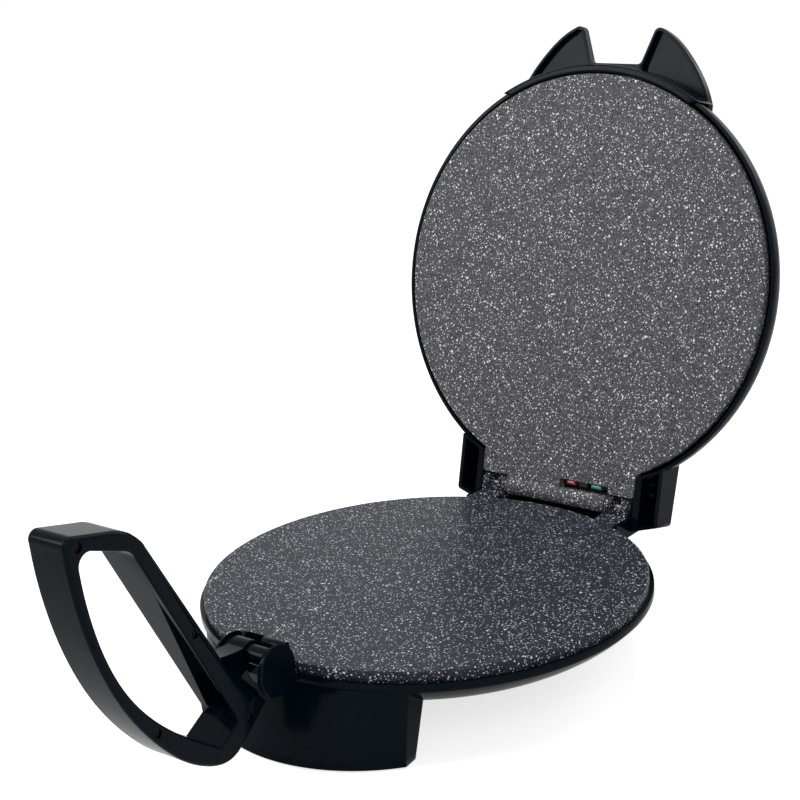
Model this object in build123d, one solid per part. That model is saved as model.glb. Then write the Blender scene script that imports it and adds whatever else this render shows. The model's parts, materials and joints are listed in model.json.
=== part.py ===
from build123d import *
from math import cos, sin, radians, hypot
import os

# Cooking plates
PLATE_R = 150.0
LOWER_LIP = 0.4
PLATE_T = 8.0
WEB_T = 4.4
PLATE_RIM = 10.0
PLATE_GAP = 0.9
UPPER_Y = 2.8
HEATER_R = 95.0
HEATER_ROD = 3.2
HEATER_FIT = 0.06
CHANNEL_HALF = 7.0
TIE_SPACE = 10.0

# Hinge at the back
HINGE_OUT = 13.0
HINGE_UP = 3.5
KNUCKLE_R = 6.8
PIN_R = 2.0
PIN_FIT = 0.05
CENTRE_KNUCKLE = 43.6
KNUCKLE_GAP = 0.5
END_KNUCKLE_W = 19.5
CLIP_T = 0.7
TAB_SIDE = 2.6
TAB_BACK = 8.0
NOTCH_BACK = 13.0
OPEN_ANGLE = 104.2

# Base pan and hinge tray
FOOT_H = 30.0
PAN_DEPTH = 25.0
PAN_LIP = 3.1
PAN_WALL = 2.4
PAN_CURVE = 31.5
PAN_LEDGE = 6.3
PLATE_SINK = 1.0
TRAY_WALL = 1.6
TRAY_FLOOR = 2.4
TRAY_DROP = 7.0
TRAY_BACK = 13.0
TRAY_SIDE_TOP = 2.5

# Feet
FOOT_WALL = 2.8
FOOT_LIFT = 1.0
FRONT_FOOT_H = 50.0
FRONT_FOOT_HALF = 81.2
REAR_FOOT_HALF = 57.0
PAD_R = 6.5
PAD_T = 3.2

# Fasteners
SCREW_R = 1.5
SCREW_HEAD = 2.9
TIE_R = 2.0
TIE_HEAD = 3.8
SCREW_FIT = 0.05
SCREW_LOOSE = 0.2
BOSS_WALL = 2.5

# Lid
RIM_OUT = 5.5
RIM_UP = 3.6
SHELL_T = 2.4
LID_H = 38.1
ROOF_BACK = 5.6
COVER_GAP = 0.6
COVER_W = 21.2
COVER_FRAME = 5.0
COVER_WALL = 2.4
COVER_H = 23.1

# Guard with its two horns
GUARD_FIT = 0.9
GUARD_W = 5.9
GUARD_WALL = 2.4
HORN_UP = 21.1
HORN_T = 7.0
HORN_WALL = 2.4

# Press handle and its pivot
PIVOT_OUT = 23.8
PIVOT_Z = 73.9
HANDLE_HALF = 15.0
HANDLE_WALL = 2.6
BARREL_R = 6.2
AXLE_R = 3.5
AXLE_FIT = 0.06
DISC_FORWARD = 1.8
DISC_DOWN = 7.5
DISC_R = 16.5
CHEEK_IN = 15.7
CHEEK_T = 1.8
CAP_T = 2.5
ARM_OUT = 13.0
ARM_FIT = 0.4
BRACKET_SCREW_X = (-6.0, 6.0)
BRACKET_SCREW_DROP = 4.7
SADDLE_HALF = 12.0

TIE_RING = HEATER_R + CHANNEL_HALF + TIE_SPACE
LOWER_R = PLATE_R + LOWER_LIP
PAN_R = LOWER_R + PAN_LIP
PAN_FLOOR = FOOT_H
PAN_TOP = PAN_FLOOR + PAN_DEPTH
LOWER_BACK = PAN_TOP - PLATE_SINK
COOK_Z = LOWER_BACK + PLATE_T
LOWER_WEB = COOK_Z - WEB_T
UPPER_FACE = COOK_Z + PLATE_GAP
UPPER_BACK = UPPER_FACE + PLATE_T
UPPER_WEB = UPPER_FACE + WEB_T
HINGE_Y = PLATE_R + HINGE_OUT
HINGE_Z = UPPER_FACE + HINGE_UP
END_KNUCKLE_IN = CENTRE_KNUCKLE + KNUCKLE_GAP
END_KNUCKLE_OUT = END_KNUCKLE_IN + END_KNUCKLE_W
TAB_HALF = END_KNUCKLE_OUT + TAB_SIDE
TAB_END = HINGE_Y - TAB_BACK
NOTCH_Y = HINGE_Y - NOTCH_BACK
TRAY_END = HINGE_Y + TRAY_BACK
TRAY_Z = PAN_TOP - TRAY_DROP
TRAY_HALF = TAB_HALF
RIM_R = PLATE_R + RIM_OUT
RIM_Z = UPPER_FACE + RIM_UP
CROWN_Z = UPPER_FACE + LID_H
COVER_IN = TAB_HALF + COVER_GAP
COVER_OUT = COVER_IN + COVER_W
GUARD_IN = PLATE_R + GUARD_FIT
GUARD_OUT = GUARD_IN + GUARD_W
HORN_Z0 = UPPER_FACE + HORN_UP
HORN_Z1 = HORN_Z0 + HORN_T
PIVOT_Y = -PLATE_R - PIVOT_OUT
DISC_Y = PIVOT_Y + DISC_FORWARD
DISC_Z = PIVOT_Z - DISC_DOWN
CHEEK_OUT = CHEEK_IN + CHEEK_T
CAP_OUT = CHEEK_OUT + CAP_T
BRACKET_SCREW_Z = PAN_TOP - BRACKET_SCREW_DROP


def block(x0, x1, y0, y1, z0, z1):
    size = Box(abs(x1 - x0), y1 - y0, z1 - z0)
    return Pos((x0 + x1) / 2, (y0 + y1) / 2, (z0 + z1) / 2) * size


def post(r, x, y, z0, z1):
    return Pos(x, y, (z0 + z1) / 2) * Cylinder(r, z1 - z0)


def bar(r, y, z, x0, x1):
    return Pos((x0 + x1) / 2, y, z) * Rot(0, 90, 0) * Cylinder(r, abs(x1 - x0))


def outline(points):
    return make_face(Polyline(*points, close=True))


def side_prism(face, x0, x1):
    placed = Plane.YZ.offset(x0) * face
    return extrude(placed, amount=x1 - x0, dir=(1, 0, 0))


def flat_prism(face, z0, z1):
    placed = Plane.XY.offset(z0) * face
    return extrude(placed, amount=z1 - z0, dir=(0, 0, 1))


def turned(face):
    return revolve(Plane.XZ * face, Axis.Z, 360)


def ring(r0, r1, z0, z1):
    return turned(outline([(r0, z0), (r1, z0), (r1, z1), (r0, z1)]))


def bulged(a, b, rise):
    size = hypot(b[0] - a[0], b[1] - a[1])
    nx, ny = (b[1] - a[1]) / size, (a[0] - b[0]) / size
    middle = ((a[0] + b[0]) / 2 + nx * rise, (a[1] + b[1]) / 2 + ny * rise)
    return ThreePointArc(a, middle, b)


def group(solids):
    return Compound([s.solids()[0] for s in solids])


def both_sides(make):
    return [make(-1), make(1)]


# Points moved inwards from a closed outline by an equal distance
def inset(points, amount):
    area = sum(points[i - 1][0] * y - x * points[i - 1][1] for i, (x, y) in enumerate(points))
    turn = 1 if area > 0 else -1
    out = []
    for i, (x, y) in enumerate(points):
        ax, ay = x - points[i - 1][0], y - points[i - 1][1]
        bx, by = points[(i + 1) % len(points)][0] - x, points[(i + 1) % len(points)][1] - y
        la, lb = hypot(ax, ay), hypot(bx, by)
        mx = turn * (-ay / la - by / lb)
        my = turn * (ax / la + bx / lb)
        k = amount * 2 / max(mx * mx + my * my, 1.0)
        out.append((x + mx * k, y + my * k))
    return out


def sampled(edges, steps=7):
    out = []
    for edge in edges:
        for i in range(steps):
            p = edge @ (i / steps)
            out.append((p.X, p.Y))
    return out


# A slotted screw that points along +Z from its seat at the origin
def screw(length, shank=SCREW_R, head=SCREW_HEAD, head_t=1.9):
    body = post(shank, 0, 0, 0, length) + post(head, 0, 0, -head_t, 0)
    return body - block(-head * 0.7, head * 0.7, -0.4, 0.4, -head_t - 1, -head_t + 0.8)


def tie_points():
    return [(TIE_RING * cos(radians(a)), TIE_RING * sin(radians(a))) for a in (45, 135, 225, 315)]


# Plates: a disc with a deep rim, a web and a ring-shaped channel that holds the heater
def plate_disc(radius, face, back):
    up = 1 if back > face else -1
    web = face + up * WEB_T
    disc = turned(outline([
        (0, face), (radius - 0.8, face), (radius, face + up * 0.8), (radius, back),
        (radius - PLATE_RIM, back), (radius - PLATE_RIM, web), (0, web)]))
    end = back + up
    channel = ring(HEATER_R - CHANNEL_HALF, HEATER_R + CHANNEL_HALF, min(web, end), max(web, end))
    groove = Pos(0, 0, end) * Torus(HEATER_R, HEATER_ROD + HEATER_FIT)
    return disc + channel - groove


def end_knuckle(side):
    x0, x1 = side * END_KNUCKLE_IN, side * END_KNUCKLE_OUT
    arm = block(x0, x1, HINGE_Y - 35, HINGE_Y, LOWER_BACK, COOK_Z)
    riser = block(x0, x1, HINGE_Y - KNUCKLE_R, HINGE_Y, LOWER_BACK, HINGE_Z)
    knuckle = arm + riser + bar(KNUCKLE_R, HINGE_Y, HINGE_Z, x0, x1)
    window = block(side * (END_KNUCKLE_IN + 5.4), side * (END_KNUCKLE_IN + 14.2),
                   HINGE_Y - KNUCKLE_R - 1, HINGE_Y + 2.5, HINGE_Z - 0.5, HINGE_Z + KNUCKLE_R + 1)
    groove_x = side * (END_KNUCKLE_IN + 3.2)
    groove = bar(KNUCKLE_R + 1, HINGE_Y, HINGE_Z, groove_x, groove_x + side * 0.9)
    groove = groove - bar(KNUCKLE_R - 0.7, HINGE_Y, HINGE_Z, groove_x - side, groove_x + side * 2)
    below = block(x0, x1, HINGE_Y - KNUCKLE_R - 2, HINGE_Y + KNUCKLE_R + 2, LOWER_BACK - 1, HINGE_Z - 1)
    return knuckle - window - (groove - below)


def lower_plate():
    plate = plate_disc(LOWER_R, COOK_Z, LOWER_BACK)
    for side in (-1, 1):
        plate = plate + end_knuckle(side)
    plate = plate - bar(PIN_R, HINGE_Y, HINGE_Z, -END_KNUCKLE_OUT - 9, END_KNUCKLE_OUT + 9)
    for x, y in tie_points():
        plate = plate - post(TIE_R + SCREW_FIT, x, y, LOWER_WEB - 1, LOWER_WEB + 2.6)
    return plate


# The upper plate is drawn closed, with its rear tab, centre knuckle and lamp notch
def upper_plate():
    plate = Pos(0, UPPER_Y, 0) * plate_disc(PLATE_R, UPPER_FACE, UPPER_BACK)
    tab_shape = outline([
        (-TAB_HALF, TAB_END - 32), (TAB_HALF, TAB_END - 32), (TAB_HALF, TAB_END - 1.5), (TAB_HALF - 1.5, TAB_END),
        (-TAB_HALF + 1.5, TAB_END), (-TAB_HALF, TAB_END - 1.5)])
    plate = plate + flat_prism(tab_shape, UPPER_FACE, UPPER_BACK)
    plate = plate + block(-CENTRE_KNUCKLE, CENTRE_KNUCKLE, TAB_END - 1, HINGE_Y, UPPER_FACE, UPPER_BACK)
    plate = plate + bar(KNUCKLE_R, HINGE_Y, HINGE_Z, -CENTRE_KNUCKLE, CENTRE_KNUCKLE)
    plate = plate - block(3, CENTRE_KNUCKLE + 1, NOTCH_Y, HINGE_Y - KNUCKLE_R + 0.6, UPPER_FACE - 9, UPPER_BACK + 9)
    plate = plate - bar(PIN_R + PIN_FIT, HINGE_Y, HINGE_Z, -CENTRE_KNUCKLE - 9, CENTRE_KNUCKLE + 9)
    for x, y in tab_screw_points():
        plate = plate - post(2.3, x, y, UPPER_FACE - 1, UPPER_BACK + 1)
        plate = plate - Pos(x, y, UPPER_FACE + 1.25) * Cone(4.8, 2.3, 2.5)
    for x, y in tie_points():
        plate = plate - post(TIE_R + SCREW_FIT, x, y + UPPER_Y, UPPER_WEB - 2.6, UPPER_WEB + 1)
    return plate


def tab_screw_points():
    return [(side * (TAB_HALF - 10), NOTCH_Y - 6) for side in (-1, 1)]


# Heating rod: an open ring with two upright ends
def heater(z, y, up):
    path = CenterArc((0, y, z), HEATER_R, 115, 310)
    rod = sweep(Plane(origin=path @ 0, z_dir=path % 0) * Circle(HEATER_ROD), path)
    for p in (path @ 0, path @ 1):
        rod = rod + post(HEATER_ROD * 0.8, p.X, p.Y, min(z, z + 12 * up), max(z, z + 12 * up))
        rod = rod + Pos(p.X, p.Y, z) * Sphere(HEATER_ROD)
    return rod


# Base pan: a round bowl whose rim carries the lower plate
def bowl(grow=0.0):
    r, floor = PAN_R + grow, PAN_FLOOR - grow
    foot, shoulder = (PAN_R - PAN_CURVE, floor), (r, PAN_TOP - 5)
    rest = Polyline(shoulder, (r, PAN_TOP), (0, PAN_TOP), (0, floor), foot)
    return turned(make_face([bulged(foot, shoulder, 2.4), rest]))


def bowl_inside():
    r, floor = PAN_R - PAN_LEDGE, PAN_FLOOR + PAN_WALL
    foot, shoulder = (PAN_R - PAN_CURVE - 1, floor), (r, PAN_TOP - 8.2)
    rest = Polyline(shoulder, (r, PAN_TOP + 1), (0, PAN_TOP + 1), (0, floor), foot)
    return turned(make_face([bulged(foot, shoulder, 1.8), rest]))


def base_pan():
    pan = bowl() - bowl_inside() - post(LOWER_R + 0.8, 0, 0, LOWER_BACK, PAN_TOP + 1)
    for side in (-1, 1):
        pan = pan - block(side * (END_KNUCKLE_IN - 0.6), side * (END_KNUCKLE_OUT + 0.6),
                          HINGE_Y - 35, TRAY_END, LOWER_BACK - 0.15, PAN_TOP + 1)
    for x, y in tie_points():
        pan = pan + post(TIE_R + BOSS_WALL, x, y, PAN_FLOOR + 1, LOWER_WEB)
        pan = pan - post(TIE_R + SCREW_LOOSE, x, y, PAN_FLOOR - 1, LOWER_WEB + 1)
    for x, y in front_screw_points() + rear_screw_points():
        pan = pan + post(SCREW_R + BOSS_WALL, x, y, PAN_FLOOR + 1, PAN_FLOOR + 10)
        pan = pan - post(SCREW_R + SCREW_FIT, x, y, PAN_FLOOR - 1, PAN_FLOOR + 8.5)
    for x in BRACKET_SCREW_X:
        hole = Pos(x, -PAN_R + 5, BRACKET_SCREW_Z) * Rot(90, 0, 0) * Cylinder(SCREW_R + SCREW_LOOSE, 16)
        pan = pan - hole
    return pan


def front_screw_points():
    return [(x, -PAN_R + PAN_CURVE + 14) for x in (-50, 0, 50)]


def rear_screw_points():
    return [(x, PAN_R - PAN_CURVE - 15) for x in (-40, 40)]


# Shallow tray that closes the base round the hinge
def hinge_tray():
    t = TRAY_WALL
    side = outline([
        (PAN_R - 50, TRAY_Z), (TRAY_END, TRAY_Z), (TRAY_END, COOK_Z + TRAY_SIDE_TOP), (HINGE_Y + 3.5, COOK_Z + TRAY_SIDE_TOP),
        (HINGE_Y - KNUCKLE_R, COOK_Z + 0.5), (PAN_R - 50, COOK_Z - 1)])
    tray = side_prism(side, -TRAY_HALF, TRAY_HALF)
    tray = tray - block(-TRAY_HALF + t, TRAY_HALF - t, PAN_R - 60, TRAY_END - t, TRAY_Z + TRAY_FLOOR, COOK_Z + 20)
    for x, y in tray_screw_points():
        tray = tray + post(SCREW_R + BOSS_WALL, x, y, TRAY_Z, TRAY_Z + 6.5)
        tray = tray - post(SCREW_R + SCREW_FIT, x, y, TRAY_Z - 1, TRAY_Z + 5)
    gland = Pos(*gland_place()) * Rot(90, 0, 0) * Cylinder(4.2, t + 4)
    return tray - gland - post(PAN_R, 0, 0, TRAY_Z - 1, COOK_Z + 20)


def tray_screw_points():
    return [(side * 30, HINGE_Y - 4) for side in (-1, 1)]


def gland_place():
    return (18.2 - TRAY_HALF, TRAY_END - TRAY_WALL / 2, TRAY_Z + 8.2)


def tray_screws():
    return group([Pos(x, y, TRAY_Z - 3) * screw(7.5) for x, y in tray_screw_points()])


# Front foot: a leaning shell whose upper edge follows the bowl
def front_block(shrink, z0, z1):
    def level(z):
        t = z / FRONT_FOOT_H
        half, corner = FRONT_FOOT_HALF + 2.3 * t - shrink, -PAN_R + 21.3 + 3.3 * t + shrink * 0.4
        front, back = -PAN_R - 16.5 + 16.1 * t + shrink, -PAN_R + 32.5 + 12.0 * t - shrink
        arc = ThreePointArc((-half, corner), (0, front), (half, corner))
        rest = Polyline((half, corner), (half - 1.5, back), (1.5 - half, back), (-half, corner))
        return Plane.XY.offset(z) * make_face([arc, rest])

    return loft([level(z0), level(z1)], ruled=True)


def front_foot():
    foot = front_block(0, FOOT_LIFT, FRONT_FOOT_H)
    foot = foot - (front_block(FOOT_WALL, -1.0, FRONT_FOOT_H) - bowl(FOOT_WALL))
    for x, y in front_pad_points():
        foot = foot + (post(PAD_R + 1.5, x, y, PAD_T, FRONT_FOOT_H) & front_block(0.5, FOOT_LIFT, FRONT_FOOT_H))
    flange = block(19 - FRONT_FOOT_HALF, FRONT_FOOT_HALF - 19, -PAN_R + PAN_CURVE + 8, -PAN_R + PAN_CURVE + 23, PAN_FLOOR - 3, PAN_FLOOR)
    foot = foot + flange - bowl()
    for x, y in front_screw_points():
        foot = foot - post(SCREW_R + SCREW_LOOSE, x, y, 0, PAN_FLOOR + 1)
    for x in BRACKET_SCREW_X:
        foot = foot - Pos(x, -PAN_R, BRACKET_SCREW_Z) * Rot(90, 0, 0) * Cylinder(SCREW_R + SCREW_LOOSE, 30)
    return foot


def front_pad_points():
    return [(x, -PAN_R + 15.5) for x in (23 - FRONT_FOOT_HALF, FRONT_FOOT_HALF - 23)]


# Rear foot: a box leg under the tray, open below
def rear_leg(shrink, z0, z1):
    def level(z):
        t = z / TRAY_Z
        y0, y1 = HINGE_Y - 36 - 3 * t + shrink, HINGE_Y - 2 + 5 * t - shrink
        shape = RectangleRounded(2 * (REAR_FOOT_HALF - shrink), y1 - y0, 6)
        return Plane.XY.offset(z) * Pos(0, (y0 + y1) / 2) * shape

    return loft([level(z0), level(z1)], ruled=True)


def rear_foot():
    foot = rear_leg(0, FOOT_LIFT, TRAY_Z) - (rear_leg(FOOT_WALL, -1, TRAY_Z - 3) - bowl(FOOT_WALL))
    for x, y in rear_pad_points():
        foot = foot + post(PAD_R + 1.2, x, y, PAD_T, TRAY_Z - 2)
    flange = block(5 - REAR_FOOT_HALF, REAR_FOOT_HALF - 5, PAN_R - PAN_CURVE - 23, HINGE_Y - 34, PAN_FLOOR - 3, PAN_FLOOR)
    foot = foot + flange - bowl()
    for x, y in rear_screw_points():
        foot = foot - post(SCREW_R + SCREW_LOOSE, x, y, 0, PAN_FLOOR + 1)
    for x, y in tray_screw_points():
        foot = foot - post(SCREW_R + SCREW_LOOSE, x, y, TRAY_Z - 5, TRAY_Z + 1)
    return foot


def rear_pad_points():
    return [(x, HINGE_Y - 19) for x in (10 - REAR_FOOT_HALF, REAR_FOOT_HALF - 10)]


def foot_pads():
    return group([post(PAD_R, x, y, 0, PAD_T) for x, y in front_pad_points() + rear_pad_points()])


def foot_screws():
    return group([Pos(x, y, PAN_FLOOR - 3) * screw(10) for x, y in front_screw_points() + rear_screw_points()])


def tie_screws():
    length = LOWER_WEB + 2.2 - PAN_FLOOR
    return group([Pos(x, y, PAN_FLOOR) * screw(length, TIE_R, TIE_HEAD, 2.6) for x, y in tie_points()])


# Parts under the lower plate
def thermostat():
    cup = post(9, 30, 0, LOWER_WEB - 9, LOWER_WEB)
    return cup + block(18, 42, -2.5, 2.5, LOWER_WEB - 7, LOWER_WEB - 6)


def thermal_fuse():
    return bar(3.0, -35, LOWER_WEB - 3.0, -14, 14) + bar(0.7, -35, LOWER_WEB - 3.0, -22, 22)


def terminal_block():
    low = PAN_FLOOR + PAN_WALL
    body = block(-22, 22, 62, 76, low, low + 12)
    for i in range(3):
        body = body - post(3.0, -14 + 14 * i, 69, low + 7, low + 13)
    return body


def cord_gland():
    t = TRAY_WALL
    sleeve = Rot(90, 0, 0) * Cylinder(4.1, t + 5)
    flange = Pos(0, t / 2 + 1.2, 0) * Rot(90, 0, 0) * Cylinder(6.0, 2.4)
    bore = Rot(90, 0, 0) * Cylinder(2.4, 30)
    return Pos(*gland_place()) * (sleeve + flange - bore)


# Hinge pin with its two retaining clips
def hinge_pin():
    return bar(PIN_R, HINGE_Y, HINGE_Z, -END_KNUCKLE_OUT - CLIP_T, END_KNUCKLE_OUT + CLIP_T)


def hinge_clips():
    def clip(side):
        disc = bar(4.0, HINGE_Y, HINGE_Z, side * END_KNUCKLE_OUT, side * (END_KNUCKLE_OUT + CLIP_T))
        return disc - bar(PIN_R, HINGE_Y, HINGE_Z, -99, 99)
    return group(both_sides(clip))


# Lid, drawn closed: a dome with a roof behind it that covers the tab
def dome(grow=0.0):
    r, c = RIM_R, CROWN_Z
    rim = (r + grow, c - 30)
    crown = Spline((0, c + grow), (r - 50.5 + 0.1 * grow, c - 3 + grow), (r - 11.5 + 0.5 * grow, c - 11.5 + 0.87 * grow), rim,
                   tangents=[(1, 0), (0, -1)])
    rest = Polyline(rim, (r + grow, RIM_Z - max(-grow, 0)), (0, RIM_Z - max(-grow, 0)), (0, c + grow))
    return Pos(0, UPPER_Y, 0) * turned(make_face([crown, rest]))


def roof(t):
    back, c = HINGE_Y - ROOF_BACK - t, CROWN_Z - t
    half = COVER_IN + COVER_WALL - t
    low = UPPER_BACK + 0.3 - 2 * t
    shape = outline([
        (back - 62, low), (back, low), (back, c - 17), (back - 5, c - 10.5),
        (back - 17.4, c - 5), (back - 37.4, c - 3.5), (back - 62, c - 3)])
    return side_prism(shape, -half, half)


# The part of a level that the guard takes, a little wider by each millimetre of grow
def guard_sector(grow, z0, z1):
    inner, outer = radians(29.9), radians(32.1)
    a = (GUARD_IN * sin(inner), UPPER_Y - GUARD_IN * cos(inner))
    b = (GUARD_OUT * sin(outer), UPPER_Y - GUARD_OUT * cos(outer))
    a, b = (a[0] + grow, a[1]), (b[0] + grow, b[1])
    far = (a[0] + (b[0] - a[0]) * 6, a[1] + (b[1] - a[1]) * 6)
    right = [a, far, (far[0], -2 * PLATE_R)]
    left = [(-x, y) for x, y in reversed(right)]
    return flat_prism(outline([(0, UPPER_Y)] + right + left), z0, z1)


def guard_screw_points():
    r = RIM_R - 9
    return [(r * sin(radians(a)), UPPER_Y - r * cos(radians(a))) for a in (-22, 0, 22)]


def lid_shell():
    shell = dome() + roof(0) - dome(-SHELL_T) - roof(SHELL_T)
    shell = shell - flat_prism(outline([
        (-COVER_IN, TAB_END - 55), (COVER_IN, TAB_END - 55), (COVER_IN, HINGE_Y + 9), (-COVER_IN, HINGE_Y + 9)]),
        UPPER_FACE - 5, UPPER_BACK + 0.3)
    shell = shell - (guard_sector(0.4, UPPER_FACE - 5, HORN_Z0 + 0.4)
                     - Pos(0, UPPER_Y, 0) * post(GUARD_IN - 9, 0, 0, 40, 120))
    shell = shell - bar(KNUCKLE_R + 0.6, HINGE_Y, HINGE_Z, -COVER_IN, COVER_IN)
    for x, y in tie_points():
        shell = shell + post(TIE_R + BOSS_WALL, x, y + UPPER_Y, UPPER_WEB, CROWN_Z - 3.5)
        shell = shell - post(TIE_R + SCREW_LOOSE, x, y + UPPER_Y, UPPER_FACE, CROWN_Z + 5)
        shell = shell - post(TIE_HEAD + 0.6, x, y + UPPER_Y, CROWN_Z - 6.5, CROWN_Z + 5)
    for x, y in tab_screw_points():
        shell = shell + post(SCREW_R + BOSS_WALL, x, y, UPPER_BACK, CROWN_Z - 9.6)
        shell = shell - post(SCREW_R + SCREW_FIT, x, y, UPPER_BACK - 1, UPPER_BACK + 14)
    for x, y in guard_screw_points():
        shell = shell + (post(SCREW_R + BOSS_WALL, x, y, guard_flange_z() + 2.4, HORN_Z0 + 4) & dome())
        shell = shell - post(SCREW_R + SCREW_FIT, x, y, guard_flange_z(), HORN_Z0)
    for y, z in cover_screw_points():
        for side in (-1, 1):
            shell = shell - bar(SCREW_R + SCREW_LOOSE, y, z, side * (COVER_IN - 3), side * (COVER_IN + 5))
    return shell


def lid_screws():
    seat = CROWN_Z - 6.5
    length = seat - UPPER_WEB + 2.2
    return group([Pos(x, y + UPPER_Y, seat) * Rot(180, 0, 0) * screw(length, TIE_R, TIE_HEAD, 2.4)
                  for x, y in tie_points()])


def tab_screws():
    def one(place):
        x, y = place
        head = Pos(x, y, UPPER_FACE + 1.55) * Cone(4.4, 2.1, 2.3)
        shank = post(SCREW_R, x, y, UPPER_FACE + 2.5, UPPER_BACK + 12)
        return head + shank - post(1.2, x, y, UPPER_FACE, UPPER_FACE + 1.2)
    return group([one(p) for p in tab_screw_points()])


# Hollow cover beside each end of the hinge, open to the front like a frame
def hinge_cover(side):
    a, b = side * COVER_IN, side * COVER_OUT
    top_in, top_out = HINGE_Y - 24, HINGE_Y - 33
    low_in, low_out = HINGE_Y + 16, HINGE_Y + 9.5
    shape = outline([(a, top_in - 30), (b, top_out - 8), (b, low_out), (a, low_in)])
    cover = flat_prism(shape, UPPER_FACE, UPPER_FACE + COVER_H)
    bevel = outline([(a, top_in - 60), (b, top_out - 60), (b, top_out), (a, top_in)])
    cover = cover - flat_prism(bevel, UPPER_FACE - 1, RIM_Z)
    lean = outline([(low_in + 9, UPPER_FACE + COVER_H - 4.5), (low_in + 9, CROWN_Z), (top_out, CROWN_Z), (top_out, UPPER_FACE + COVER_H)])
    cover = cover - side_prism(lean, min(a, b) - 1, max(a, b) + 1)
    corner = cover.edges().filter_by(Axis.Z).sort_by(Axis.Y)[-2:].sort_by(lambda e: abs(e.center().X))[-1]
    cover = fillet(corner, 3.0)
    w = COVER_WALL
    a, b = side * (COVER_IN + COVER_FRAME), side * (COVER_OUT - w - 0.6)
    pocket = outline([(a, top_in + 0.5), (b, top_out + w + 0.4), (b, low_out - w + 0.6), (a, low_in - w - 1.9)])
    cover = cover - flat_prism(pocket, UPPER_FACE - 1, UPPER_FACE + COVER_H - w - 2.5)
    for y, z in cover_screw_points():
        x = side * (COVER_IN + COVER_FRAME)
        cover = cover + bar(SCREW_R + BOSS_WALL - 0.8, y, z, x - side, x + side * 5)
        cover = cover - bar(SCREW_R + SCREW_FIT, y, z, side * COVER_IN, x + side * 4)
    return cover - dome() - roof(0)


def cover_screw_points():
    return [(y, UPPER_BACK + 6) for y in (HINGE_Y - 19, HINGE_Y - 11)]


def cover_screws():
    out = []
    for y, z in cover_screw_points():
        for side in (-1, 1):
            seat = side * (COVER_IN + COVER_WALL - SHELL_T)
            out.append(Pos(seat, y, z) * Rot(0, side * 90, 0) * screw(8.5, head=2.6, head_t=1.5))
    return group(out)


# Indicator lamps in the notch beside the hinge
def lens(x0, x1):
    body = block(x0, x1, NOTCH_Y + 0.4, NOTCH_Y + 3.6, UPPER_FACE + 0.9, UPPER_FACE + 5.0)
    front = body.faces().sort_by(Axis.Z)[0]
    return fillet(front.edges(), 1.2)


def lamp_holder():
    body = block(4, CENTRE_KNUCKLE - 0.5, NOTCH_Y + 0.3, NOTCH_Y + 3.5, UPPER_FACE + 5.0, UPPER_BACK + 10)
    return body + block(19, 26, NOTCH_Y + 0.3, NOTCH_Y + 3.5, UPPER_FACE + 1.6, UPPER_FACE + 5.5)


# Horn outline as (x, distance in front of the plate's edge)
HORN = [(21.0, 7.0), (29.8, 30.6), (32.6, 33.3), (36.8, 32.8), (47.8, 26.0), (61.3, 12.5), (71.8, -1.6), (80.5, -20.0)]


def horn(side, margin):
    closed = HORN + [(HORN[-1][0], -50.0), (HORN[0][0], -50.0)]
    p = [(side * x, -PLATE_R - y) for x, y in inset(closed, margin)]
    edges = [Line(p[0], p[1]), ThreePointArc(p[1], p[2], p[3]), Spline(*p[3:8]), Polyline(*p[7:10], p[0])]
    return make_face(edges)


def guard_flange_z():
    return UPPER_BACK + 3.2


def press_guard():
    wall = ring(GUARD_OUT - GUARD_WALL, GUARD_OUT, UPPER_FACE + 0.3, HORN_Z0 + 2)
    rim = ring(GUARD_IN, GUARD_OUT, UPPER_FACE + 0.3, UPPER_FACE + 4.3)
    flange = ring(RIM_R - 13, GUARD_OUT, guard_flange_z(), guard_flange_z() + 2.4)
    band = Pos(0, UPPER_Y, 0) * (wall + rim) & guard_sector(0, UPPER_FACE - 5, CROWN_Z)
    shelf = Pos(0, UPPER_Y, 0) * flange & guard_sector(-14, UPPER_FACE - 5, CROWN_Z)
    back = -PLATE_R + 60
    floor = HORN[0][0]
    body = block(-floor, floor, -PLATE_R - HORN[0][1], back, HORN_Z0, HORN_Z1)
    for side in (-1, 1):
        body = body + (flat_prism(horn(side, 0), HORN_Z0, HORN_Z1) - block(-500, 500, back, 500, HORN_Z0 - 1, HORN_Z1 + 1))
    corners = [e for e in body.edges().filter_by(Axis.Z)
               if abs(abs(e.center().X) - floor) < 0.2 and abs(e.center().Y + PLATE_R + HORN[0][1]) < 0.2]
    body = fillet(corners, 4.0)
    body = body - dome(0.3)
    guard = band + shelf + body
    disc = Pos(0, UPPER_Y, 0) * post(GUARD_OUT, 0, 0, HORN_Z0 - 5, HORN_Z1 + 5)
    for side in (-1, 1):
        pocket = flat_prism(horn(side, HORN_WALL), HORN_Z0 - 1, HORN_Z1 - HORN_WALL)
        guard = guard - (pocket - disc)
    for x, y in guard_screw_points():
        guard = guard - post(SCREW_R + SCREW_LOOSE, x, y, UPPER_FACE, guard_flange_z() + 3)
    return guard


def guard_screws():
    return group([Pos(x, y, guard_flange_z()) * screw(9.5, head=2.6, head_t=1.8) for x, y in guard_screw_points()])


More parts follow.
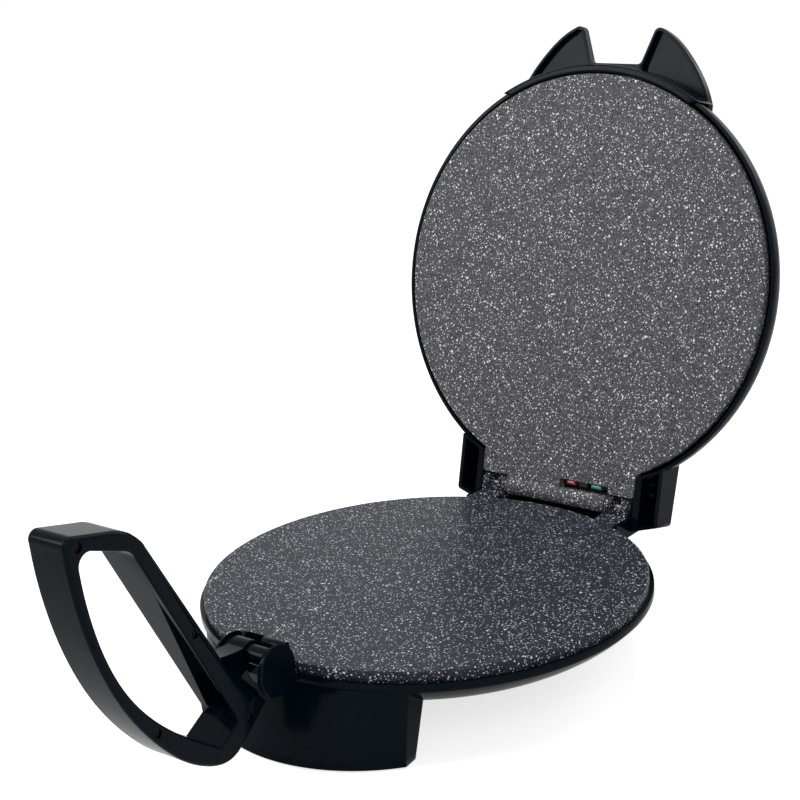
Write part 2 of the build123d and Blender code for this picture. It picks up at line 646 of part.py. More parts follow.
# Press handle seen from the side, as (towards the back, up) from its pivot
GRIP_OUT = [(-29.3, -46.1), (-42.9, -50.3), (-57.6, -45.8), (-73.2, -36.1), (-89.6, -20.6), (-115.5, 14.7), (-135.1, 61.1),
            (-144.0, 103.9), (-145.4, 119.6)]
GRIP_TOP = [(-143.8, 125.4), (-138.0, 126.7), (-113.2, 120.9)]
SHOULDER = [(-113.2, 120.9), (-99.6, 115.7), (-92.2, 109.5), (-86.6, 101.1)]
SPINE_OUT = [(-86.6, 101.1), (-32.8, 2.5), (-20.4, -19.7), (-12.2, -17.5), (-4.6, -25.9), (-29.3, -46.1)]
GRIP_IN = [(-136.4, 107.1), (-130.7, 69.6), (-112.8, 24.3), (-85.6, -8.5), (-57.7, -30.6), (-46.6, -38.1)]
SPINE_IN = [(-46.6, -38.1), (-31.6, -29.1), (-32.2, -23.6), (-96.3, 98.7)]
HOLE_CORNER = [(-96.3, 98.7), (-98.6, 102.6), (-102.6, 105.6)]
HOLE_TOP = [(-127.2, 114.5), (-133.4, 113.4), (-136.4, 107.1)]
HANDLE_SCREWS = [(-136.4, 119.7), (-58.8, 39.7), (-21.6, -30.3), (-94.8, -7.5)]
POCKET_TOP = (-88.8, 84.3)
POCKET_LOW = (-33.0, -22.7)
POCKET_DEPTH = 7.0


def from_pivot(points):
    return [(PIVOT_Y + y, PIVOT_Z + z) for y, z in points]


def handle_edges():
    top = from_pivot(GRIP_TOP)
    end = from_pivot(GRIP_OUT)[-1]
    return [Spline(*from_pivot(GRIP_OUT)), ThreePointArc(end, top[0], top[1]), Line(top[1], top[2]),
            Spline(*from_pivot(SHOULDER))] + Polyline(*from_pivot(SPINE_OUT)).edges()


def hole_edges():
    corner, top = from_pivot(HOLE_CORNER), from_pivot(HOLE_TOP)
    return [Spline(*from_pivot(GRIP_IN))] + Polyline(*from_pivot(SPINE_IN)).edges() + [
        ThreePointArc(*corner), Line(corner[-1], top[0]), ThreePointArc(*top)]


# Wedge pocket in the spine, with no depth at its top and the most at the opening's low corner
def pocket_wedge():
    (y0, z0), (y1, z1) = from_pivot([POCKET_TOP, POCKET_LOW])
    size = hypot(y1 - y0, z1 - z0)
    uy, uz = (y1 - y0) / size, (z1 - z0) / size
    ny, nz = -uz, uy
    side = outline([(y0 - ny, z0 - nz), (y1 - ny, z1 - nz), (y1 + ny * POCKET_DEPTH, z1 + nz * POCKET_DEPTH)])
    wedge = side_prism(side, -9.0, HANDLE_HALF - 2.2)
    plane = Plane(origin=(0, y0 - 3 * ny, z0 - 3 * nz), x_dir=(1, 0, 0), z_dir=(0, ny, nz))
    low = size if (plane.y_dir.Y * uy + plane.y_dir.Z * uz) > 0 else -size
    face = outline([(HANDLE_HALF - 2.2, 0), (HANDLE_HALF - 2.2, low), (-9.0, low)])
    return wedge & extrude(plane * face, amount=30, dir=(0, ny, nz))


# Ridge at the foot of the spine, chamfered on its right side
def toe(x0, x1):
    ridge = from_pivot([(-34.2, 5.1), (-28.2, 2.7), (-19.8, -4.7), (-6.7, -19.8), (-4.6, -25.9), (-20.0, -30.0)])
    edge = from_pivot([(-34.7, 5.1), (-32.8, 2.5), (-29.7, -2.9), (-19.3, -16.8), (-12.0, -24.0), (-24.0, -30.0)])
    straight = side_prism(outline(ridge), x0, min(x1, 9.0))
    if x1 <= 9.0:
        return straight
    slope = loft([Plane.YZ.offset(9.0) * outline(ridge), Plane.YZ.offset(x1) * outline(edge)], ruled=True)
    return straight + slope


def handle_half(x0, x1):
    outer = make_face(handle_edges())
    hole = make_face(hole_edges())
    body = side_prism(outer, x0, x1) - side_prism(hole, x0 - 1, x1 + 1) + toe(max(x0, -11.0), x1)
    cavity = outline(inset(sampled(handle_edges()), HANDLE_WALL)) - outline(inset(sampled(hole_edges()), -HANDLE_WALL))
    low, high = (x0 + HANDLE_WALL, 1) if x0 < 0 else (-1, x1 - HANDLE_WALL)
    hollow = side_prism(cavity, low, high)
    solid_spine = outline(from_pivot([(-100, 86), (-84, 92), (20, 10), (20, -34), (-40, -34)]))
    hollow = hollow - side_prism(solid_spine, -40, 40)
    for y, z in from_pivot(HANDLE_SCREWS):
        hollow = hollow - bar(SCREW_R + BOSS_WALL, y, z, x0, x1)
    return body - hollow - pocket_wedge()


def handle_left():
    body = handle_half(-HANDLE_HALF, 0)
    body = body + bar(BARREL_R, PIVOT_Y, PIVOT_Z, -HANDLE_HALF, HANDLE_HALF)
    arm_top = bulged(*from_pivot([(-38.0, 11.0), (0, BARREL_R)]), 1.8)
    arm = make_face([arm_top, Polyline(*from_pivot([(0, BARREL_R), (0, -BARREL_R), (-26.0, -8.0), (-38.0, 0), (-38.0, 11.0)]))])
    body = body + side_prism(arm, -ARM_OUT, 0)
    body = body - bar(AXLE_R + AXLE_FIT, PIVOT_Y, PIVOT_Z, -40, 40)
    for y, z in from_pivot(HANDLE_SCREWS):
        body = body - bar(SCREW_R + SCREW_FIT, y, z, -11, 1)
    return body


def handle_right():
    body = handle_half(0, HANDLE_HALF)
    body = body - bar(BARREL_R + 0.15, PIVOT_Y, PIVOT_Z, -1, HANDLE_HALF + 1)
    for y, z in from_pivot(HANDLE_SCREWS):
        body = body - bar(SCREW_R + SCREW_LOOSE, y, z, -1, 40) - bar(SCREW_HEAD + 0.1, y, z, HANDLE_HALF - 4.0, 40)
    return body


def handle_screws():
    seat = HANDLE_HALF - 4.0
    return group([Pos(seat, y, z) * Rot(0, -90, 0) * screw(21.3) for y, z in from_pivot(HANDLE_SCREWS)])


# Pivot bracket: two cheeks on a saddle that is screwed to the pan's rim
def pivot_bracket():
    front, back = PIVOT_Y + BARREL_R + 1.8, PIVOT_Y + BARREL_R + 9.6
    top = PIVOT_Z + 6.4
    crown = ThreePointArc((front, top - 3.5), (front + 3.2, top), (back, top - 3.5))
    rest = Polyline((back, top - 3.5), (back, PAN_TOP + 0.8), (front, PAN_TOP + 0.8), (front, top - 3.5))
    saddle = side_prism(make_face([crown, rest]), -CHEEK_OUT, CHEEK_OUT)
    root = side_prism(outline([
        (front, PAN_TOP + 8), (back, PAN_TOP + 8), (-PAN_R + 6, PAN_TOP + 0.5), (-PAN_R + 6, PAN_TOP - 8),
        (front + 4, PAN_TOP - 8), (front, PAN_TOP)]), -SADDLE_HALF, SADDLE_HALF)
    body = saddle + root
    for side in (-1, 1):
        body = body + bar(DISC_R - 2.5, DISC_Y, DISC_Z, side * CHEEK_IN, side * CHEEK_OUT)
    slot = block(-ARM_OUT - ARM_FIT, ARM_FIT, PIVOT_Y - 30, back - 2.2, PAN_TOP + 9, top + 5)
    body = body - slot - bar(AXLE_R, PIVOT_Y, PIVOT_Z, -CHEEK_OUT - 1, CHEEK_OUT + 1)
    body = body - bowl() - front_block(0, -20.0, FRONT_FOOT_H) - post(PAN_R, 0, 0, PAN_TOP - 3, COOK_Z + 10)
    for x in BRACKET_SCREW_X:
        body = body - Pos(x, -PAN_R - 4, BRACKET_SCREW_Z) * Rot(90, 0, 0) * Cylinder(SCREW_R + SCREW_FIT, 9.4)
    return body


def bracket_screws():
    seat = -PAN_R + PAN_LEDGE - 0.1
    length = PAN_LEDGE + 8.0
    return group([Pos(x, seat + 0.4, BRACKET_SCREW_Z) * Rot(90, 0, 0) * screw(length, head=2.6) for x in BRACKET_SCREW_X])


def pivot_axle():
    return bar(AXLE_R, PIVOT_Y, PIVOT_Z, -CHEEK_OUT, CHEEK_OUT)


def pivot_cap(side):
    disc = bar(DISC_R, DISC_Y, DISC_Z, side * CHEEK_OUT, side * CAP_OUT)
    face = disc.faces().sort_by(Axis.X)[-1 if side > 0 else 0]
    disc = fillet(face.edges(), 0.9)
    step = outline([(DISC_Y - 23.6, DISC_Z + 20.9), (DISC_Y + 26.2, DISC_Z - 17.6), (DISC_Y + 40, DISC_Z + 40)])
    return disc - side_prism(step, *sorted((side * (CAP_OUT - 0.5), side * (CAP_OUT + 2))))


def pivot_washer():
    ring_out = bar(BARREL_R - 0.4, PIVOT_Y, PIVOT_Z, -CHEEK_IN + 0.05, -HANDLE_HALF - 0.1)
    return ring_out - bar(AXLE_R + AXLE_FIT, PIVOT_Y, PIVOT_Z, -40, 40)


BASE = {
    "base_pan": base_pan, "hinge_tray": hinge_tray, "tray_screws": tray_screws, "front_foot": front_foot,
    "rear_foot": rear_foot, "foot_pads": foot_pads, "foot_screws": foot_screws, "tie_screws": tie_screws,
    "lower_plate": lower_plate, "lower_heater": lambda: heater(LOWER_BACK - 1.0, 0, -1),
    "thermostat": thermostat, "thermal_fuse": thermal_fuse, "terminal_block": terminal_block,
    "cord_gland": cord_gland, "hinge_pin": hinge_pin, "hinge_clips": hinge_clips,
    "pivot_bracket": pivot_bracket, "bracket_screws": bracket_screws, "pivot_axle": pivot_axle,
    "pivot_cap_left": lambda: pivot_cap(-1), "pivot_cap_right": lambda: pivot_cap(1), "pivot_washer": pivot_washer,
}
LID = {
    "lid_shell": lid_shell, "hinge_cover_left": lambda: hinge_cover(-1), "hinge_cover_right": lambda: hinge_cover(1),
    "cover_screws": cover_screws, "press_guard": press_guard, "guard_screws": guard_screws,
    "upper_plate": upper_plate, "upper_heater": lambda: heater(UPPER_BACK + 1.0, UPPER_Y, 1),
    "lid_screws": lid_screws, "tab_screws": tab_screws, "red_lens": lambda: lens(8.5, 15.5),
    "green_lens": lambda: lens(29.5, 38.0), "lamp_holder": lamp_holder,
}
HANDLE = {
    "handle_left": handle_left, "handle_right": handle_right, "handle_screws": handle_screws,
}


def opened(shape):
    hinge = Axis((0, HINGE_Y, HINGE_Z), (1, 0, 0))
    return shape.rotate(hinge, -OPEN_ANGLE)


shapes = {name: make() for name, make in BASE.items()}
shapes.update({name: opened(make()) for name, make in LID.items()})
shapes.update({name: make() for name, make in HANDLE.items()})

# The origin is the middle of the bounding box's bottom
boxes = [s.bounding_box() for s in shapes.values()]
low_y = min(b.min.Y for b in boxes)
high_y = max(b.max.Y for b in boxes)
low_z = min(b.min.Z for b in boxes)
shift = Pos(0, -(low_y + high_y) / 2, -low_z)

os.makedirs("parts", exist_ok=True)
for name, shape in shapes.items():
    export_step(shift * shape, f"parts/{name}.step")
print("shift", -(low_y + high_y) / 2, -low_z)
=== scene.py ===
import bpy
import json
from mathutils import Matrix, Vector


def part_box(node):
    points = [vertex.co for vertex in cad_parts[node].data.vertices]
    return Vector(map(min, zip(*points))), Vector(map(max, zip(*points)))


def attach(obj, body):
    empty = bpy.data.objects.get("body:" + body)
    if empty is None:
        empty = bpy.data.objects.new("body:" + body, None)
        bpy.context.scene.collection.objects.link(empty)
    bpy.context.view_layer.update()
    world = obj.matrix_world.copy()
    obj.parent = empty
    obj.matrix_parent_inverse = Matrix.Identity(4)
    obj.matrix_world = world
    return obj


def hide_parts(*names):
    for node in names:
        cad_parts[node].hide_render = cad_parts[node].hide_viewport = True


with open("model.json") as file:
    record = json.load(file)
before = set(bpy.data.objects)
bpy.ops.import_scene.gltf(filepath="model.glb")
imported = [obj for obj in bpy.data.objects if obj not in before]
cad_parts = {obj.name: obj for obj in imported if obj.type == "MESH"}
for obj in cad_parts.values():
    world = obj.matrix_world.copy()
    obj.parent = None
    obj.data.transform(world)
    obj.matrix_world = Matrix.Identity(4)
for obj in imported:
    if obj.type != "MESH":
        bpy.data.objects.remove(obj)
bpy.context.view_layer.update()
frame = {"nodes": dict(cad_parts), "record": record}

import json
from math import cos, pi, radians, sin

import bmesh
import bpy
from mathutils import Matrix, Vector

MM = 0.001

# Y of the lower plate's centre in the frame, in millimetres
ROW_SHIFT_Y = 23.77596

# Camera fitted to the plate rims and the hinge line, in millimetres and degrees.
# Its distance was chosen so that both plates are one size.
CAM_TARGET = (-13.07, ROW_SHIFT_Y, 183.89)
CAM_AZIMUTH = 38.98
CAM_ELEVATION = 17.205
CAM_ROLL = -3.503
CAM_DISTANCE = 1194.4
CAM_LENS = 81.10


def new_shader(name):
    material = bpy.data.materials.new(name)
    material.use_nodes = True
    tree = material.node_tree
    tree.nodes.clear()
    out = tree.nodes.new("ShaderNodeOutputMaterial")
    shader = tree.nodes.new("ShaderNodeBsdfPrincipled")
    tree.links.new(shader.outputs["BSDF"], out.inputs["Surface"])
    return material, tree, shader


def math_node(tree, kind, a, b):
    node = tree.nodes.new("ShaderNodeMath")
    node.operation = kind
    for socket, value in zip(node.inputs, (a, b)):
        if isinstance(value, (int, float)):
            socket.default_value = value
        else:
            tree.links.new(value, socket)
    return node.outputs[0]


def object_coords(tree, stretch=(1.0, 1.0, 1.0)):
    place = tree.nodes.new("ShaderNodeTexCoord")
    mapping = tree.nodes.new("ShaderNodeMapping")
    mapping.inputs["Scale"].default_value = stretch
    tree.links.new(place.outputs["Object"], mapping.inputs["Vector"])
    return mapping.outputs[0]


def noise(tree, coords, scale, detail=2.0):
    field = tree.nodes.new("ShaderNodeTexNoise")
    field.inputs["Scale"].default_value = scale
    field.inputs["Detail"].default_value = detail
    tree.links.new(coords, field.inputs["Vector"])
    return field.outputs["Fac"]


def spread(tree, value, low, high):
    span = tree.nodes.new("ShaderNodeMapRange")
    span.inputs["From Min"].default_value = 0.3
    span.inputs["From Max"].default_value = 0.7
    span.inputs["To Min"].default_value = low
    span.inputs["To Max"].default_value = high
    tree.links.new(value, span.inputs["Value"])
    return span.outputs[0]


def blended(tree, factor, first, second):
    mix = tree.nodes.new("ShaderNodeMix")
    mix.data_type = "RGBA"
    tree.links.new(factor, mix.inputs[0])
    for socket, colour in ((mix.inputs[6], first), (mix.inputs[7], second)):
        if isinstance(colour, tuple):
            socket.default_value = (*colour, 1.0)
        else:
            tree.links.new(colour, socket)
    return mix.outputs[2]


def bumped(tree, shader, height, distance):
    bump = tree.nodes.new("ShaderNodeBump")
    bump.inputs["Strength"].default_value = 1.0
    bump.inputs["Distance"].default_value = distance
    tree.links.new(height, bump.inputs["Height"])
    tree.links.new(bump.outputs[0], shader.inputs["Normal"])


# Colour that drifts between two tones, uneven roughness and a fine surface grain
def surface(name, tones, rough, drift, grain, depth, stretch=(1, 1, 1), **sockets):
    material, tree, shader = new_shader(name)
    coords = object_coords(tree, stretch)
    slow = noise(tree, coords, drift, 3.0)
    fine = noise(tree, coords, grain, 2.0)
    tree.links.new(blended(tree, spread(tree, slow, 0.0, 1.0), *tones), shader.inputs["Base Color"])
    tree.links.new(spread(tree, slow, *rough), shader.inputs["Roughness"])
    bumped(tree, shader, fine, depth)
    for socket, value in sockets.items():
        shader.inputs[socket.replace("_", " ")].default_value = value
    return material


# Dots of one size: a dot sits in some of the cells of a Voronoi pattern
def dots(tree, coords, scale, radius, share, seed):
    shift = tree.nodes.new("ShaderNodeVectorMath")
    shift.operation = "ADD"
    shift.inputs[1].default_value = (seed, seed * 1.7, seed * 0.6)
    tree.links.new(coords, shift.inputs[0])
    cells = tree.nodes.new("ShaderNodeTexVoronoi")
    cells.inputs["Scale"].default_value = scale
    cells.inputs["Randomness"].default_value = 1.0
    tree.links.new(shift.outputs[0], cells.inputs["Vector"])
    near = math_node(tree, "LESS_THAN", cells.outputs["Distance"], radius)
    picked = tree.nodes.new("ShaderNodeTexWhiteNoise")
    tree.links.new(cells.outputs["Position"], picked.inputs["Vector"])
    chosen = math_node(tree, "LESS_THAN", picked.outputs["Value"], share)
    return math_node(tree, "MULTIPLY", near, chosen)


# Specks of the coating as Voronoi scale, dot radius in cells, share of cells and seed
BLACK_SPECKS = (430.0, 0.24, 0.60, 11.3)
GREY_SPECKS = (700.0, 0.26, 0.60, 3.1)
WHITE_SPECKS = (
    (420.0, 0.21, 0.60, 0.0), (700.0, 0.25, 0.42, 5.9), (250.0, 0.18, 0.24, 9.2), (140.0, 0.125, 0.24, 7.7),
)
BLACK_SPECK_COLOUR = (0.010, 0.010, 0.013)
MOTTLE_SCALE = 900.0
MOTTLE_DEPTH = 0.00004
COATING_SPECULAR = 0.12


# Non-stick coating: mottled ground, black specks, grey specks, then white specks of four sizes
def speckled(name, dark, light, grey_speck, white_speck, rough):
    material, tree, shader = new_shader(name)
    coords = object_coords(tree)
    mottle = noise(tree, coords, MOTTLE_SCALE, 2.0)
    colour = blended(tree, spread(tree, mottle, 0.0, 1.0), dark, light)
    colour = blended(tree, dots(tree, coords, *BLACK_SPECKS), colour, BLACK_SPECK_COLOUR)
    colour = blended(tree, dots(tree, coords, *GREY_SPECKS), colour, grey_speck)
    white = dots(tree, coords, *WHITE_SPECKS[0])
    for specks in WHITE_SPECKS[1:]:
        white = math_node(tree, "MAXIMUM", white, dots(tree, coords, *specks))
    colour = blended(tree, white, colour, white_speck)
    tree.links.new(colour, shader.inputs["Base Color"])
    tree.links.new(spread(tree, mottle, *rough), shader.inputs["Roughness"])
    shader.inputs["Specular IOR Level"].default_value = COATING_SPECULAR
    bumped(tree, shader, mottle, MOTTLE_DEPTH)
    return material


# The black plastic's specular level is low because the photo's plastic mirrors a dark studio
BLACK_TONES = ((0.0006, 0.0036, 0.0068), (0.0012, 0.0050, 0.0090))
INNER_TONES = ((0.006, 0.006, 0.007), (0.012, 0.012, 0.014))

SLOT_MATERIALS = {
    "shell_black": surface(
        "black_gloss", BLACK_TONES, (0.12, 0.18), 30.0, 420.0, 0.000008, Specular_IOR_Level=0.06
    ),
    "inner_black": surface(
        "black_inner", INNER_TONES, (0.45, 0.60), 40.0, 1400.0, 0.00006, Specular_IOR_Level=0.25
    ),
    "upper_coating": speckled(
        "upper_coating", (0.034, 0.035, 0.039), (0.150, 0.152, 0.164), (0.26, 0.26, 0.27),
        (0.98, 0.98, 0.98), (0.40, 0.50),
    ),
    "lower_coating": speckled(
        "lower_coating", (0.009, 0.011, 0.017), (0.033, 0.039, 0.052), (0.10, 0.11, 0.13),
        (0.74, 0.77, 0.82), (0.34, 0.44),
    ),
    "steel": surface(
        "steel", ((0.50, 0.50, 0.51), (0.62, 0.62, 0.63)), (0.22, 0.34), 160.0, 500.0, 0.00002,
        stretch=(0.15, 1.0, 1.0), Metallic=1.0,
    ),
    "heater_steel": surface(
        "heater_steel", ((0.16, 0.14, 0.12), (0.30, 0.27, 0.24)), (0.38, 0.52), 60.0, 700.0, 0.00003,
        Metallic=1.0,
    ),
    "pad_rubber": surface(
        "pad_rubber", ((0.014, 0.014, 0.014), (0.022, 0.022, 0.022)), (0.70, 0.85), 90.0, 1200.0, 0.00008
    ),
    "ceramic_white": surface(
        "ceramic_white", ((0.66, 0.64, 0.59), (0.78, 0.76, 0.71)), (0.40, 0.55), 150.0, 900.0, 0.00003
    ),
    "red_lamp": surface(
        "red_lamp", ((0.30, 0.012, 0.016), (0.46, 0.030, 0.036)), (0.10, 0.18), 200.0, 600.0, 0.00003,
        Coat_Weight=0.5,
    ),
    "green_lamp": surface(
        "green_lamp", ((0.010, 0.150, 0.120), (0.020, 0.260, 0.210)), (0.10, 0.18), 200.0, 600.0, 0.00003,
        Coat_Weight=0.5,
    ),
}

slot_of = {part["node"]: part["material_slot"] for part in frame["record"]["subparts"]}

for node, piece in frame["nodes"].items():
    for place in piece.material_slots:
        place.material = SLOT_MATERIALS[slot_of[node]]


# Facets that meet at less than FLAT_ANGLE are one face; edges over SHARP_ANGLE get a radius (degrees)
FLAT_ANGLE = 0.4
SHARP_ANGLE = 28.0
SMOOTH_ANGLE = 30.0
WELD_MM = 0.01


# Moulded edges: facets are joined into faces, then every sharp edge gets a small radius
def soften(node, width_mm):
    piece = frame["nodes"][node]
    weld = piece.modifiers.new("weld", "WELD")
    weld.merge_threshold = WELD_MM * MM
    flat = piece.modifiers.new("flat", "DECIMATE")
    flat.decimate_type = "DISSOLVE"
    flat.angle_limit = radians(FLAT_ANGLE)
    bevel = piece.modifiers.new("bevel", "BEVEL")
    bevel.width = width_mm * MM
    bevel.segments = 2
    bevel.limit_method = "ANGLE"
    bevel.angle_limit = radians(SHARP_ANGLE)
    bevel.harden_normals = True
    bevel.miter_outer = "MITER_ARC"
    bevel.use_clamp_overlap = True


EDGE_RADII = {
    "hinge_cover_left": 0.5, "hinge_cover_right": 0.5, "front_foot": 0.8, "rear_foot": 0.8,
    "pivot_bracket": 0.5, "lid_shell": 0.6, "base_pan": 0.6, "hinge_tray": 0.4,
    "upper_plate": 0.9, "lower_plate": 0.8,
}
for node, radius in EDGE_RADII.items():
    soften(node, radius)


def add_piece(name, form, slot, body, stands_for=()):
    mesh = bpy.data.meshes.new(name)
    for face in form.faces:
        face.smooth = True
    for edge in form.edges:
        edge.smooth = len(edge.link_faces) == 2 and edge.calc_face_angle() < radians(SMOOTH_ANGLE)
    form.to_mesh(mesh)
    form.free()
    mesh.materials.append(SLOT_MATERIALS[slot])
    piece = bpy.data.objects.new(name, mesh)
    bpy.context.collection.objects.link(piece)
    weighted = piece.modifiers.new("normals", "WEIGHTED_NORMAL")
    weighted.keep_sharp = True
    if stands_for:
        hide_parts(*stands_for)
    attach(piece, body)


# A node's form as clean faces, to be worked on and then to stand for the node
def form_of(node):
    form = bmesh.new()
    form.from_mesh(frame["nodes"][node].data)
    bmesh.ops.remove_doubles(form, verts=form.verts, dist=WELD_MM * MM)
    bmesh.ops.dissolve_limit(form, angle_limit=radians(FLAT_ANGLE), verts=form.verts, edges=form.edges)
    bmesh.ops.triangulate(form, faces=[face for face in form.faces if len(face.verts) > 4])
    return form


def round_edges(form, radius_mm, segments, wanted):
    sharp = [
        edge for edge in form.edges
        if len(edge.link_faces) == 2 and edge.calc_face_angle() > radians(SHARP_ANGLE) and wanted(edge)
    ]
    bmesh.ops.bevel(
        form, geom=sharp, offset=radius_mm * MM, offset_type="OFFSET", segments=segments, profile=0.5,
        affect="EDGES", clamp_overlap=False,
    )


# The handle's flat faces lie at X = +-HANDLE_FACE; the window's middle and the screws are from the pivot
HANDLE_FACE = 15.0
FACE_TOLERANCE = 0.05
SCREW_KEEP_OUT = 4.0
OUTLINE_RADIUS = 2.5
WINDOW_RADIUS = 1.5
PIVOT_Y = -173.8 + ROW_SHIFT_Y
PIVOT_Z = 73.9
WINDOW_MIDDLE = (-85.0, 35.0)
SCREWS_FROM_PIVOT = [(-136.4, 119.7), (-58.8, 39.7), (-21.6, -30.3), (-94.8, -7.5)]


# Edges round the handle's two flat faces: outside is true for its outline, false for its window
def handle_edge(edge, outside):
    middle = (edge.verts[0].co + edge.verts[1].co) / 2 / MM
    if abs(abs(middle.x) - HANDLE_FACE) > FACE_TOLERANCE:
        return False
    y, z = middle.y - PIVOT_Y, middle.z - PIVOT_Z
    if any((y - sy) ** 2 + (z - sz) ** 2 < SCREW_KEEP_OUT ** 2 for sy, sz in SCREWS_FROM_PIVOT):
        return False
    wall = min(edge.link_faces, key=lambda face: abs(face.normal.x)).normal
    return (wall.y * (y - WINDOW_MIDDLE[0]) + wall.z * (z - WINDOW_MIDDLE[1]) > 0) == outside


# A solid of revolution about a line along X, from its (x, radius) points
def turned_form(points, centre_y, centre_z, steps=72):
    form = bmesh.new()
    rings = []
    for x, radius in points:
        angles = [2 * pi * i / steps for i in range(steps)]
        rings.append([
            form.verts.new((x * MM, (centre_y + radius * cos(a)) * MM, (centre_z + radius * sin(a)) * MM))
            for a in angles
        ])
    for first, second in zip(rings, rings[1:]):
        for i in range(steps):
            j = (i + 1) % steps
            form.faces.new((first[i], first[j], second[j], second[i]))
    form.faces.new(rings[0][::-1])
    form.faces.new(rings[-1])
    bmesh.ops.recalc_face_normals(form, faces=form.faces)
    return form


def moulded_handle():
    for node in ("handle_left", "handle_right"):
        form = form_of(node)
        round_edges(form, OUTLINE_RADIUS, 4, lambda edge: handle_edge(edge, True))
        round_edges(form, WINDOW_RADIUS, 3, lambda edge: handle_edge(edge, False))
        add_piece(node + "_moulded", form, slot_of[node], "handle", (node,))


# Sleeve of the handle's arm round the pivot, thicker than the barrel
def arm_sleeve():
    profile = [(-13.0, 7.4), (-12.7, 8.1), (-12.0, 8.4), (-0.9, 8.4), (-0.3, 8.1), (0.0, 7.4)]
    add_piece("arm_sleeve", turned_form(profile, PIVOT_Y, PIVOT_Z), "shell_black", "handle")


CREASE_NORMAL = (0.0, 0.62, 0.785)
CREASE_SLOPE = 0.09


# Pivot caps: a rounded rim and a face that folds along a slanting crease
def creased_cap(node, side):
    low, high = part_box(node)
    centre = Vector((0.0, (low[1] + high[1]) / 2, (low[2] + high[2]) / 2))
    out = max(abs(low[0]), abs(high[0])) / MM
    inner = min(abs(low[0]), abs(high[0])) / MM
    radius = (high[1] - low[1]) / 2 / MM
    profile = [
        (inner, radius - 0.2), (inner + 0.2, radius), (out - 0.9, radius), (out - 0.45, radius - 0.15),
        (out - 0.12, radius - 0.5), (out, radius - 1.0),
    ]
    profile += [(out, (radius - 1.0) * k / 8) for k in range(7, 0, -1)]
    form = turned_form([(side * x, r) for x, r in profile], centre.y / MM, centre.z / MM)
    across = Vector(CREASE_NORMAL)
    everything = form.verts[:] + form.edges[:] + form.faces[:]
    bmesh.ops.bisect_plane(form, geom=everything, plane_co=centre, plane_no=across)
    for vert in form.verts:
        above = (vert.co - centre).dot(across)
        if above > 0 and abs(vert.co.x) / MM > out - 1.0:
            vert.co.x -= side * above * CREASE_SLOPE
    add_piece(node + "_creased", form, "shell_black", "base", (node,))


# The hinge and the closed lid's plate, in millimetres and degrees
HINGE_Y = 163.0 + ROW_SHIFT_Y
HINGE_Z = 66.4
OPEN_ANGLE = 104.2
CLOSED_PLATE_FACE = 62.9
PLATE_MIDDLE_Y = 2.8 + ROW_SHIFT_Y
BAND_REACH = 149.0
BAND_DEPTH = 0.6
BAND_RADIUS = 1.7
GUARD_RADIUS = 0.5
GUARD_ANGLE = 50.0


# A point of the open lid as (x, y, z) in millimetres with the lid closed
def closed_point(point):
    y, z = point.y / MM - HINGE_Y, point.z / MM - HINGE_Z
    c, s = cos(radians(OPEN_ANGLE)), sin(radians(OPEN_ANGLE))
    return Vector((point.x / MM, HINGE_Y + c * y - s * z, HINGE_Z + s * y + c * z))


# Edges of the guard's band round the front of the upper plate
def band_edge(edge):
    spot = closed_point((edge.verts[0].co + edge.verts[1].co) / 2)
    reach = (spot.x ** 2 + (spot.y - PLATE_MIDDLE_Y) ** 2) ** 0.5
    return spot.z < CLOSED_PLATE_FACE + BAND_DEPTH and reach > BAND_REACH


def moulded_guard():
    form = form_of("press_guard")
    round_edges(form, BAND_RADIUS, 4, band_edge)
    round_edges(
        form, GUARD_RADIUS, 2,
        lambda edge: not band_edge(edge) and edge.calc_face_angle() > radians(GUARD_ANGLE),
    )
    add_piece("press_guard_moulded", form, "shell_black", "lid", ("press_guard",))


moulded_handle()
moulded_guard()
arm_sleeve()
creased_cap("pivot_cap_left", -1)
creased_cap("pivot_cap_right", 1)

# Screws in the handle are black, the hinge's pin and clips dark steel
LOOKS_LIKE = {"handle_screws": "inner_black", "hinge_pin": "heater_steel", "hinge_clips": "heater_steel"}
for node, slot in LOOKS_LIKE.items():
    for place in frame["nodes"][node].material_slots:
        place.material = SLOT_MATERIALS[slot]


# Floor in metres, its glow as the camera and as reflections see it, and the world's light on the object
FLOOR_SIZE = 12.0
FLOOR_Z = -0.0002
FLOOR_SEEN = 0.72
FLOOR_MIRRORED = 0.25
WORLD_LIGHT = 0.35


def make_floor():
    bpy.ops.mesh.primitive_plane_add(size=FLOOR_SIZE, location=(0, 0, FLOOR_Z))
    floor = bpy.context.object
    floor.name = "floor"
    material = bpy.data.materials.new("floor_white")
    material.use_nodes = True
    tree = material.node_tree
    tree.nodes.clear()
    out = tree.nodes.new("ShaderNodeOutputMaterial")
    shade = tree.nodes.new("ShaderNodeBsdfDiffuse")
    shade.inputs["Color"].default_value = (0.85, 0.85, 0.85, 1.0)
    glow = tree.nodes.new("ShaderNodeEmission")
    add = tree.nodes.new("ShaderNodeAddShader")
    path = tree.nodes.new("ShaderNodeLightPath")
    mirrored = math_node(tree, "MAXIMUM", path.outputs["Is Glossy Ray"], path.outputs["Is Transmission Ray"])
    level = math_node(
        tree,
        "ADD",
        math_node(tree, "MULTIPLY", path.outputs["Is Camera Ray"], FLOOR_SEEN),
        math_node(tree, "MULTIPLY", mirrored, FLOOR_MIRRORED),
    )
    tree.links.new(level, glow.inputs["Strength"])
    tree.links.new(shade.outputs[0], add.inputs[0])
    tree.links.new(glow.outputs[0], add.inputs[1])
    tree.links.new(add.outputs[0], out.inputs["Surface"])
    floor.data.materials.append(material)


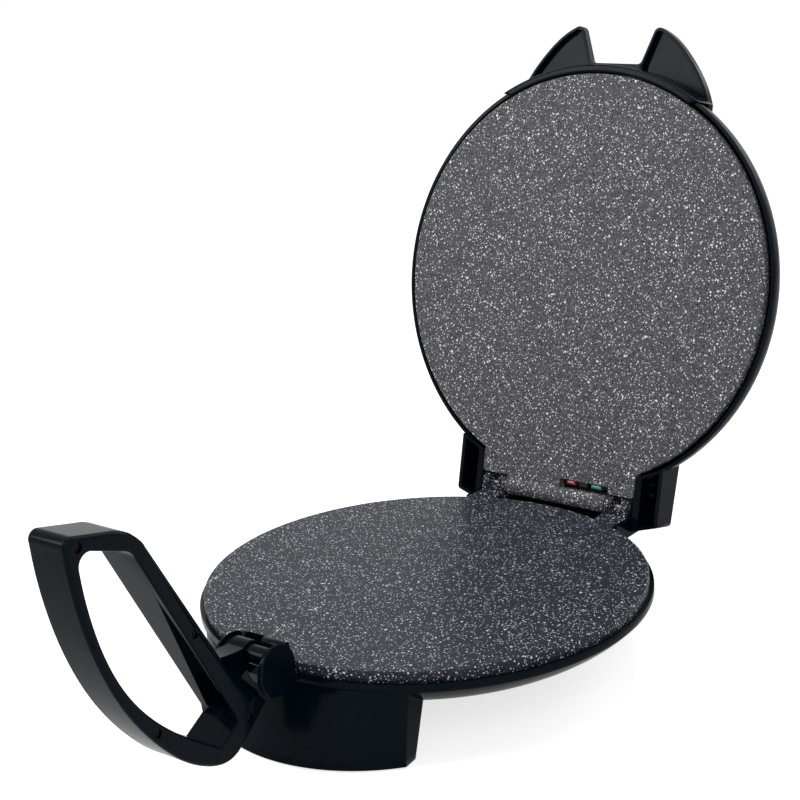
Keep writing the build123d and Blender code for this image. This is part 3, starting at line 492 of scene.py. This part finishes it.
def make_world():
    world = bpy.data.worlds.new("studio")
    bpy.context.scene.world = world
    world.use_nodes = True
    tree = world.node_tree
    tree.nodes.clear()
    out = tree.nodes.new("ShaderNodeOutputWorld")
    back = tree.nodes.new("ShaderNodeBackground")
    path = tree.nodes.new("ShaderNodeLightPath")
    seen = math_node(tree, "MAXIMUM", path.outputs["Is Camera Ray"], path.outputs["Is Transmission Ray"])
    seen = math_node(tree, "MAXIMUM", seen, path.outputs["Is Glossy Ray"])
    level = math_node(tree, "MAXIMUM", seen, WORLD_LIGHT)
    tree.links.new(level, back.inputs["Strength"])
    back.inputs["Color"].default_value = (1.0, 1.0, 1.0, 1.0)
    tree.links.new(back.outputs[0], out.inputs["Surface"])


def area_lamp(name, spot, aim, size, power):
    data = bpy.data.lights.new(name, "AREA")
    data.shape = "RECTANGLE"
    data.size, data.size_y = size
    data.energy = power
    lamp = bpy.data.objects.new(name, data)
    bpy.context.collection.objects.link(lamp)
    lamp.location = spot
    beam = Vector(aim) - Vector(spot)
    lamp.rotation_euler = beam.to_track_quat("-Z", "Y").to_euler()


def make_camera():
    azimuth, elevation, roll = map(radians, (CAM_AZIMUTH, CAM_ELEVATION, CAM_ROLL))
    target = Vector(CAM_TARGET) * MM
    away = Vector((sin(azimuth) * cos(elevation), -cos(azimuth) * cos(elevation), sin(elevation)))
    right = Vector((cos(azimuth), sin(azimuth), 0.0))
    up = right.cross(-away)
    turned_right = cos(roll) * right + sin(roll) * up
    turned_up = -sin(roll) * right + cos(roll) * up
    data = bpy.data.cameras.new("camera")
    data.lens = CAM_LENS
    data.sensor_width = 36.0
    data.clip_start = 0.01
    camera = bpy.data.objects.new("camera", data)
    bpy.context.collection.objects.link(camera)
    axes = Matrix((turned_right, turned_up, away)).transposed().to_4x4()
    camera.matrix_world = Matrix.Translation(target + away * CAM_DISTANCE * MM) @ axes
    bpy.context.scene.camera = camera


make_floor()
make_world()
make_camera()
# Lamps: name, place, what they point at, size, all in metres, and watts
area_lamp("key", (-1.0, -1.2, 1.3), (0, 0.0, 0.15), (0.5, 1.3), 14.0)
area_lamp("fill", (1.3, -0.9, 1.1), (0, 0.05, 0.15), (0.5, 1.1), 6.0)
area_lamp("top", (0.0, 0.3, 1.8), (0, 0.0, 0.1), (0.9, 0.9), 8.0)
area_lamp("rear", (0.5, 1.7, 1.1), (0, 0.1, 0.2), (0.9, 0.9), 5.0)

bpy.context.scene.view_settings.view_transform = "Standard"
